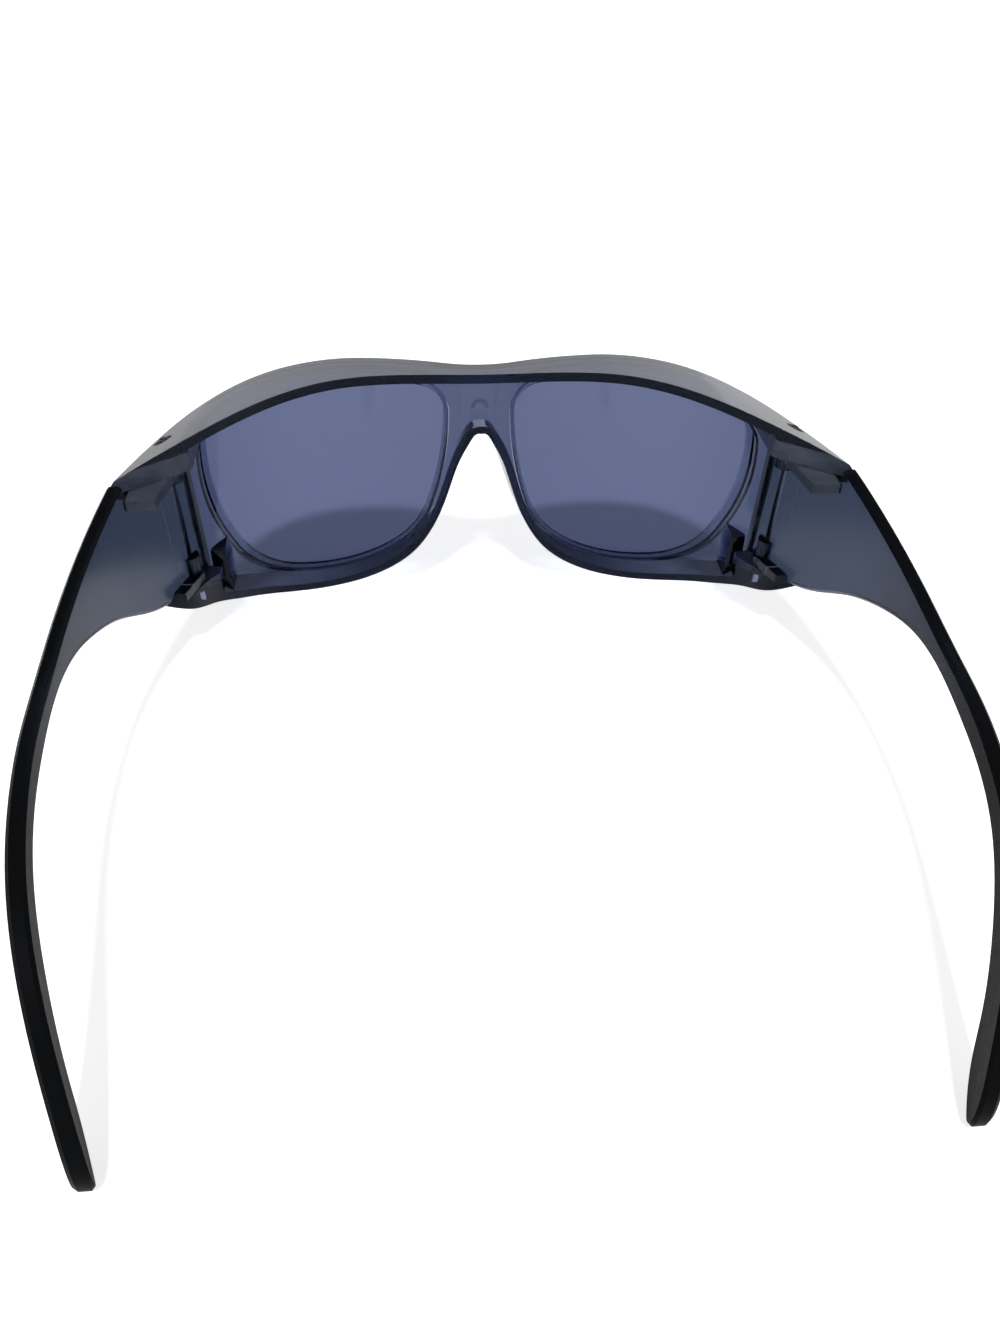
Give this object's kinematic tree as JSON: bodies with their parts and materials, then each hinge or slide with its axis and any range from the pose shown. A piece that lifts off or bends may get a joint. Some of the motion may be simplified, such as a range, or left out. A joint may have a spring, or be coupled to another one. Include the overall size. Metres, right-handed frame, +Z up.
{
  "type": "fitover sunglasses",
  "caption": "Wrap-round sunglasses worn over other glasses: a roofed front, tinted lenses in grooves, and wide side shields that fold on upright screws and taper to slim arms.",
  "frame": {"origin": "on the table, under the middle of the open glasses", "axes": "+Z up, -Y the way the lenses face, +X the wearer's left; the arms run to +Y"},
  "size_m": [0.1542, 0.155, 0.0541],
  "materials": {
    "frame_plastic": "polished smoke polycarbonate, see-through where thin",
    "lens_plastic": "polished smoke-blue polycarbonate",
    "temple_plastic": "polished smoke polycarbonate",
    "screw_steel": "bright machined steel"
  },
  "bodies": {
    "front": {"frame_front": "frame_plastic", "lens_left": "lens_plastic", "lens_right": "lens_plastic", "hinge_screw_upper_left": "screw_steel", "hinge_screw_upper_right": "screw_steel", "hinge_screw_lower_left": "screw_steel", "hinge_screw_lower_right": "screw_steel"},
    "left_arm": {"temple_left": "temple_plastic"},
    "right_arm": {"temple_right": "temple_plastic"}
  },
  "joints": [
    {"name": "left_arm_fold", "type": "hinge", "parent": "front", "child": "left_arm", "pos_m": [0.0636, -0.0477, 0.0295], "axis": [0, 0, 1], "range_deg": [0, 86]},
    {"name": "right_arm_fold", "type": "hinge", "parent": "front", "child": "right_arm", "pos_m": [-0.0636, -0.0477, 0.0295], "axis": [0, 0, -1], "range_deg": [0, 52]}
  ]
}
